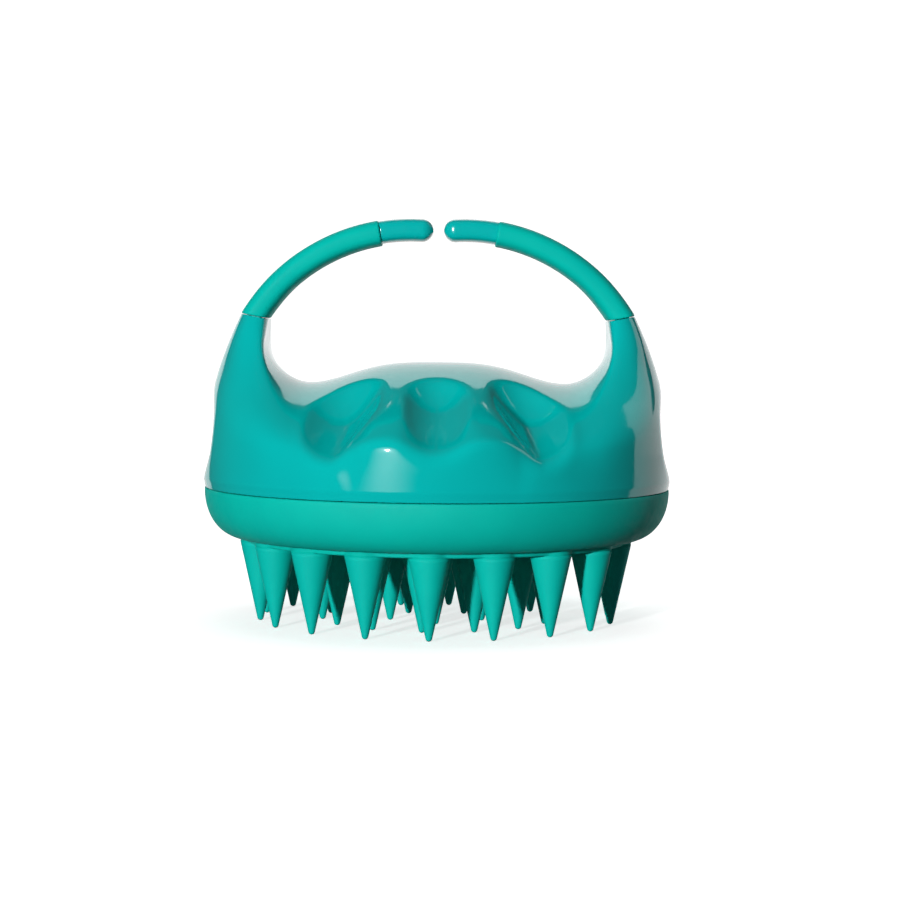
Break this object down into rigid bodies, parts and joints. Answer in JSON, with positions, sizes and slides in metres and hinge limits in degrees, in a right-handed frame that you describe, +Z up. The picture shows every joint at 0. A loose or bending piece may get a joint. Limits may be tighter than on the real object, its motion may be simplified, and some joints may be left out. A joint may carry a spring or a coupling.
{
  "type": "scalp massager brush",
  "caption": "Palm-held scalp massager: domed shell with finger scoops, split flexible loop handle, and a soft pad of cone bristles.",
  "frame": {"origin": "centre of the round base, on the plane of the bristle tips that the brush stands on", "axes": "+Z up from the bristle tips to the handle loop, +X across the loop from arm to arm, -Y the front with finger scoops"},
  "size_m": [0.0806, 0.0806, 0.0692],
  "materials": {
    "shell_plastic": "high gloss moulded ABS, teal",
    "plate_plastic": "plain moulded ABS, hidden inside",
    "pad_silicone": "matte silicone with a fine moulded grain, teal",
    "bristle_silicone": "smooth matte silicone, teal",
    "sleeve_rubber": "soft-touch matte elastomer, teal",
    "tip_plastic": "high gloss moulded ABS, teal",
    "core_plastic": "flexible polypropylene strip, hidden inside"
  },
  "bodies": {
    "shell": {"upper_shell": "shell_plastic", "base_plate": "plate_plastic", "bristle_pad": "pad_silicone", "outer_bristles": "bristle_silicone", "middle_bristles": "bristle_silicone", "inner_bristles": "bristle_silicone", "centre_bristle": "bristle_silicone"},
    "left_arm": {"left_arm_core": "core_plastic", "left_grip_sleeve": "sleeve_rubber", "left_arm_tip": "tip_plastic"},
    "right_arm": {"right_arm_core": "core_plastic", "right_grip_sleeve": "sleeve_rubber", "right_arm_tip": "tip_plastic"}
  },
  "joints": [
    {"name": "left_arm_flex", "type": "hinge", "parent": "shell", "child": "left_arm", "pos_m": [-0.034, 0, 0.0527], "axis": [0, -1, 0], "range_deg": [-2, 12], "stiffness_Nm_per_rad": 0.5, "deforming": ["left_arm_core"]},
    {"name": "right_arm_flex", "type": "hinge", "parent": "shell", "child": "right_arm", "pos_m": [0.034, 0, 0.0527], "axis": [0, 1, 0], "range_deg": [-2, 12], "stiffness_Nm_per_rad": 0.5, "deforming": ["right_arm_core"]}
  ]
}
